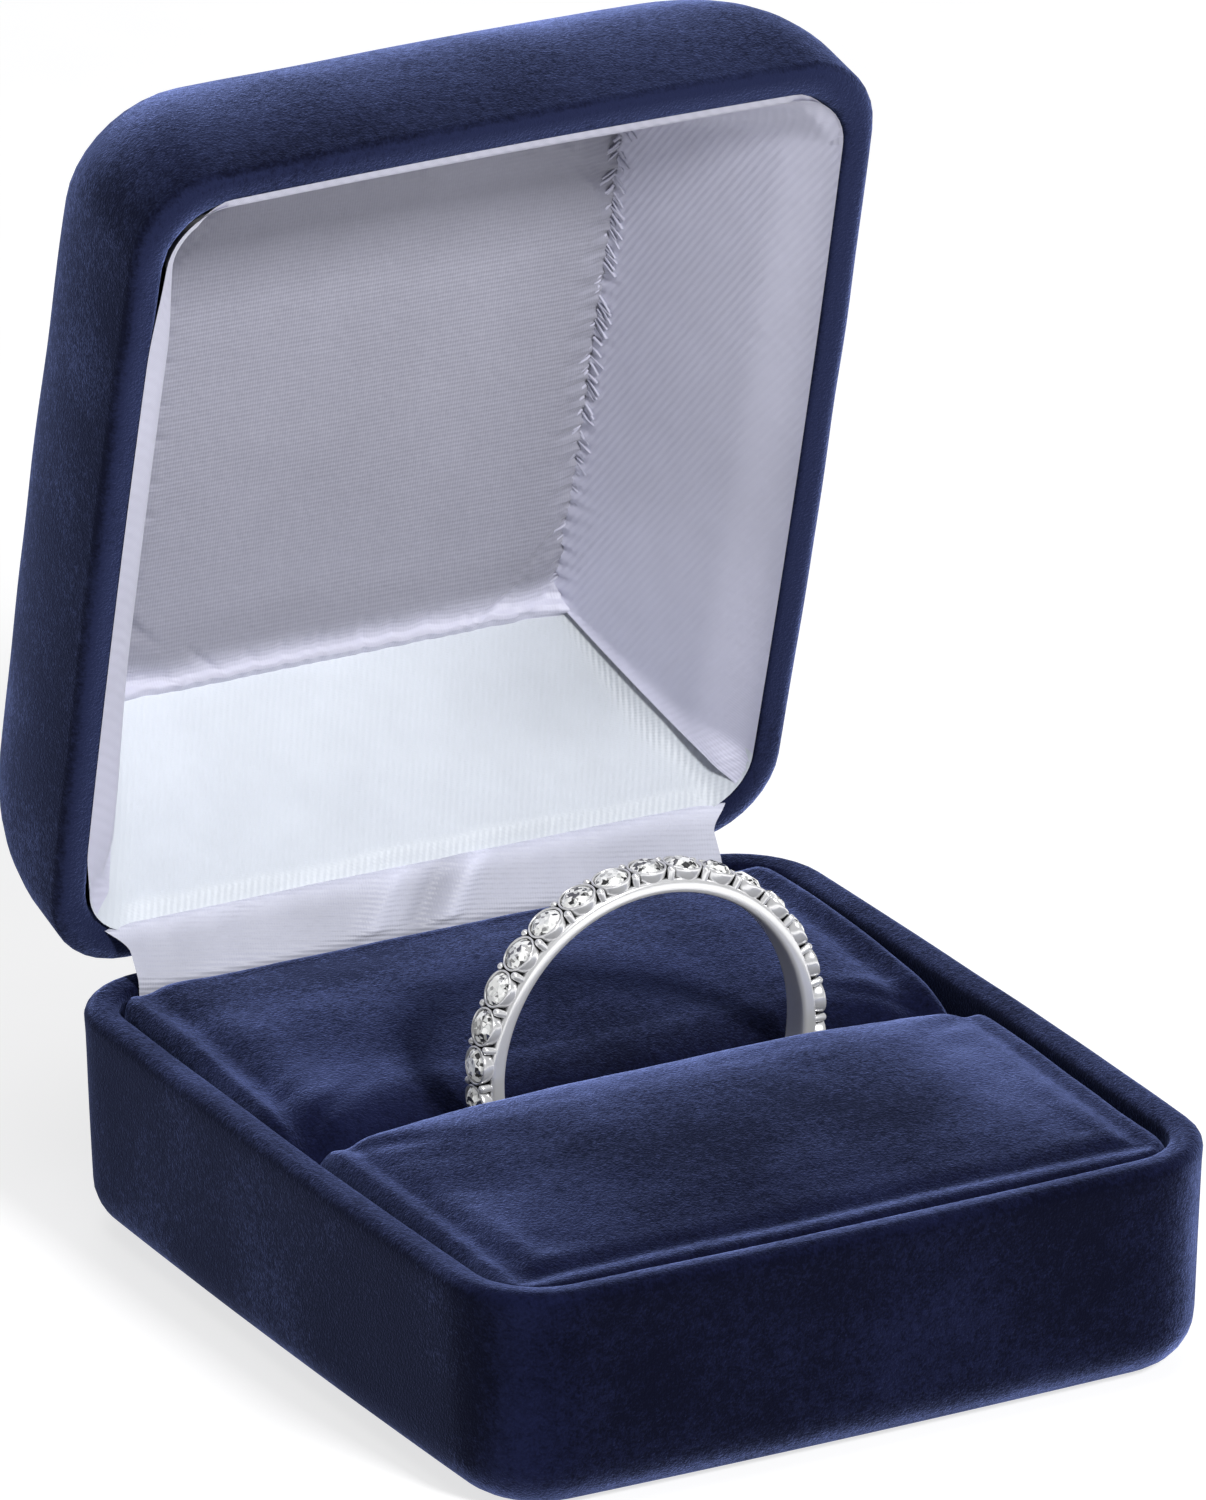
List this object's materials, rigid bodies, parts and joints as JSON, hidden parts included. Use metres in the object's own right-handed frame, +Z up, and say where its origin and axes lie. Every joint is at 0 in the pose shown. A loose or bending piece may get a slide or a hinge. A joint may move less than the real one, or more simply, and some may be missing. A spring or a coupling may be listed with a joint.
{
  "type": "ring box",
  "caption": "Open velvet ring box with a hinged pillow-shaped lid, satin lining and two cushions that hold a stone-set band upright in a slot.",
  "frame": {"origin": "centre of the base's underside", "axes": "+Z up, +Y from the front of the case towards its hinge, +X to the right along the hinge line"},
  "size_m": [0.0486, 0.0694, 0.0682],
  "materials": {
    "case_velvet": "navy flocked velvet, soft pile with a pale sheen at grazing angles",
    "cushion_velvet": "navy velvet over foam",
    "satin": "cool white satin weave, silky sheen",
    "foam": "soft foam, hidden under the covers",
    "card": "plain greyboard",
    "shell_plastic": "moulded, matte",
    "hinge_steel": "pressed spring steel",
    "ring_metal": "polished white metal",
    "stones": "clear, round brilliant cut"
  },
  "bodies": {
    "base": {"base_shell": "shell_plastic", "base_velvet": "case_velvet", "base_floor_card": "card", "insert_board": "card", "front_cushion_foam": "foam", "front_cushion_velvet": "cushion_velvet", "rear_cushion_foam": "foam", "rear_cushion_velvet": "cushion_velvet", "slot_liner": "cushion_velvet", "base_hinge_leaf": "hinge_steel", "base_hinge_rivets": "hinge_steel", "hinge_pin": "hinge_steel", "snap_spring": "hinge_steel", "hinge_flap": "satin"},
    "lid": {"lid_shell": "shell_plastic", "lid_velvet": "case_velvet", "lid_wall_card": "card", "lid_top_card": "card", "lid_top_wadding": "foam", "lid_top_satin": "satin", "lid_left_satin": "satin", "lid_right_satin": "satin", "lid_front_satin": "satin", "lid_hinge_side_satin": "satin", "lid_hinge_leaf": "hinge_steel", "lid_hinge_rivets": "hinge_steel"},
    "ring": {"ring_band": "ring_metal", "ring_stones": "stones"}
  },
  "joints": [
    {"name": "lid_hinge", "type": "hinge", "parent": "base", "child": "lid", "pos_m": [0, 0.0273, 0.014], "axis": [1, 0, 0], "range_deg": [0, 76], "deforming": ["snap_spring", "hinge_flap"]},
    {"name": "ring_turn", "type": "hinge", "parent": "base", "child": "ring", "pos_m": [0.0005, 0, 0.01475], "axis": [0, 1, 0], "continuous": true}
  ]
}
